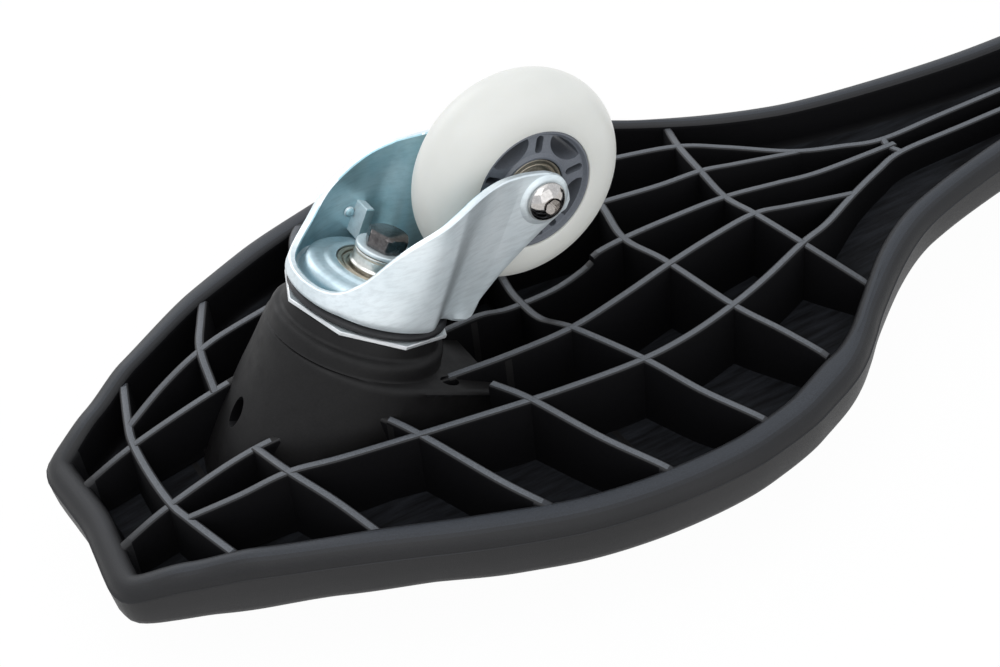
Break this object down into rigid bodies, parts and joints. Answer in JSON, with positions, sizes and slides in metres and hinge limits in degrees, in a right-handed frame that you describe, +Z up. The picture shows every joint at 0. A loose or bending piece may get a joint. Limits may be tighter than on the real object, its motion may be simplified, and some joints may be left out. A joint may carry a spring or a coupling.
{
  "type": "caster board",
  "caption": "Two-wheeled caster board: a ribbed moulded deck with wide foot platforms and a narrow flexing waist, riding on two inclined swivel casters, shown wheels up.",
  "frame": {"origin": "on the floor under the middle of the waist, with the board lying upside down on its riding face as in the picture", "axes": "+X from the nose to the tail, along the board; +Y across it, to the side of the axle nuts; +Z up, away from the riding face, towards the wheels"},
  "size_m": [0.8624, 0.2212, 0.1202],
  "materials": {
    "deck": "fine moulded texture",
    "zinc": "zinc plated pressed sheet",
    "seal": "matte",
    "dark_bolt": "dark polished",
    "chrome": "polished",
    "race": "ground",
    "shield": "satin",
    "steel": "satin",
    "tyre": "smooth cast polyurethane",
    "hub": "smooth moulded"
  },
  "bodies": {
    "front_deck": {"front_deck": "deck", "front_base_plate": "zinc", "front_dust_seal": "seal", "front_pivot_nut": "steel", "front_pivot_bolt": "dark_bolt", "front_pivot_washer": "zinc", "front_pivot_spacer": "race", "front_pivot_inner_race": "race"},
    "front_caster": {"front_fork": "zinc", "front_pivot_outer_race": "race", "front_axle_bolt": "chrome", "front_axle_nut": "steel", "front_axle_sleeve_near": "steel", "front_axle_sleeve_far": "steel", "front_bearing_inner_near": "race", "front_bearing_inner_far": "race", "front_bearing_spacer": "steel"},
    "front_wheel": {"front_tyre": "tyre", "front_hub": "hub", "front_bearing_outer_near": "shield", "front_bearing_outer_far": "shield"},
    "rear_deck": {"rear_deck": "deck", "rear_base_plate": "zinc", "rear_dust_seal": "seal", "rear_pivot_nut": "steel", "rear_pivot_bolt": "dark_bolt", "rear_pivot_washer": "zinc", "rear_pivot_spacer": "race", "rear_pivot_inner_race": "race"},
    "rear_caster": {"rear_fork": "zinc", "rear_pivot_outer_race": "race", "rear_axle_bolt": "chrome", "rear_axle_nut": "steel", "rear_axle_sleeve_near": "steel", "rear_axle_sleeve_far": "steel", "rear_bearing_inner_near": "race", "rear_bearing_inner_far": "race", "rear_bearing_spacer": "steel"},
    "rear_wheel": {"rear_tyre": "tyre", "rear_hub": "hub", "rear_bearing_outer_near": "shield", "rear_bearing_outer_far": "shield"}
  },
  "joints": [
    {"name": "deck_twist", "type": "hinge", "parent": "front_deck", "child": "rear_deck", "pos_m": [0, 0, 0.026], "axis": [1, 0, 0], "range_deg": [-15, 15], "stiffness_Nm_per_rad": 30},
    {"name": "front_swivel", "type": "hinge", "parent": "front_deck", "child": "front_caster", "pos_m": [-0.3188, 0, 0.0573], "axis": [0.4695, 0, 0.8829], "continuous": true},
    {"name": "front_wheel_spin", "type": "hinge", "parent": "front_caster", "child": "front_wheel", "pos_m": [-0.25812, 0, 0.08302], "axis": [0, 1, 0], "continuous": true},
    {"name": "rear_swivel", "type": "hinge", "parent": "rear_deck", "child": "rear_caster", "pos_m": [0.1974, 0, 0.0573], "axis": [0.4695, 0, 0.8829], "continuous": true},
    {"name": "rear_wheel_spin", "type": "hinge", "parent": "rear_caster", "child": "rear_wheel", "pos_m": [0.25808, 0, 0.08302], "axis": [0, 1, 0], "continuous": true}
  ]
}
